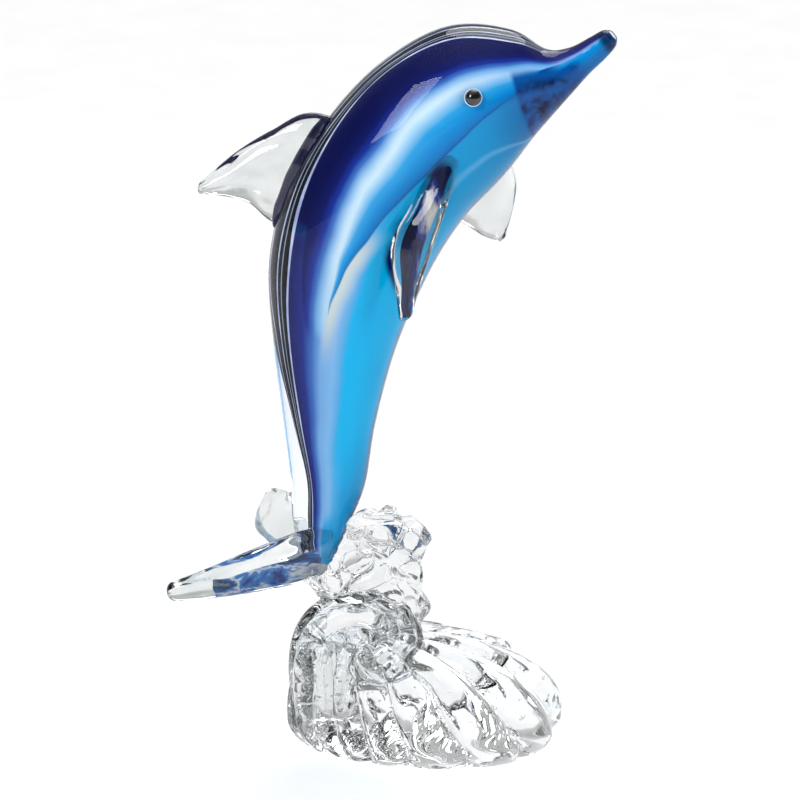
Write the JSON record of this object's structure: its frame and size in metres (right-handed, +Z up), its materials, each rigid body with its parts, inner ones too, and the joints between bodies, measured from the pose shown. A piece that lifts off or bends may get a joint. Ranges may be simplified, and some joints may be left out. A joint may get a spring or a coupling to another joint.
{
  "type": "glass dolphin figurine",
  "caption": "Art-glass dolphin, coloured inside a clear casing, leaping from a ribbed crystal wave base that stands flat.",
  "frame": {"origin": "centre of the ground flat under the wave's foot", "axes": "+Z up, +X the way the dolphin heads, -Y the dolphin's right side"},
  "size_m": [0.1533, 0.0751, 0.2532],
  "materials": {
    "crystal": "fire polished, clear",
    "casing_crystal": "fire polished, clear",
    "fin_crystal": "fire polished, clear",
    "aqua_glass": "gloss, strongly coloured",
    "cobalt_glass": "gloss, strongly coloured",
    "opal_glass": "gloss, milky",
    "streak_glass": "gloss, marbled",
    "white_glass": "gloss, opaque",
    "black_glass": "gloss, opaque"
  },
  "bodies": {
    "root": {"wave_foot": "crystal", "wave_curl": "crystal", "wave_crest": "crystal", "aqua_core": "aqua_glass", "aqua_belly": "aqua_glass", "cobalt_flank_right": "cobalt_glass", "cobalt_flank_left": "cobalt_glass", "opal_flank_right": "opal_glass", "opal_flank_left": "opal_glass", "crystal_casing": "casing_crystal", "dorsal_fin": "fin_crystal", "dorsal_root": "cobalt_glass", "pectoral_fin_right": "fin_crystal", "pectoral_fin_left": "fin_crystal", "fluke_right": "fin_crystal", "fluke_left": "fin_crystal", "fluke_streak_right": "streak_glass", "fluke_streak_left": "streak_glass", "eye_dot_right": "white_glass", "eye_dot_left": "white_glass", "eye_bead_right": "black_glass", "eye_bead_left": "black_glass", "black_ribbon_1": "black_glass", "black_ribbon_2": "black_glass", "black_ribbon_3": "black_glass", "black_ribbon_4": "black_glass", "white_thread_1": "white_glass", "white_thread_2": "white_glass", "white_thread_3": "white_glass", "white_thread_4": "white_glass", "white_thread_5": "white_glass"}
  },
  "joints": []
}
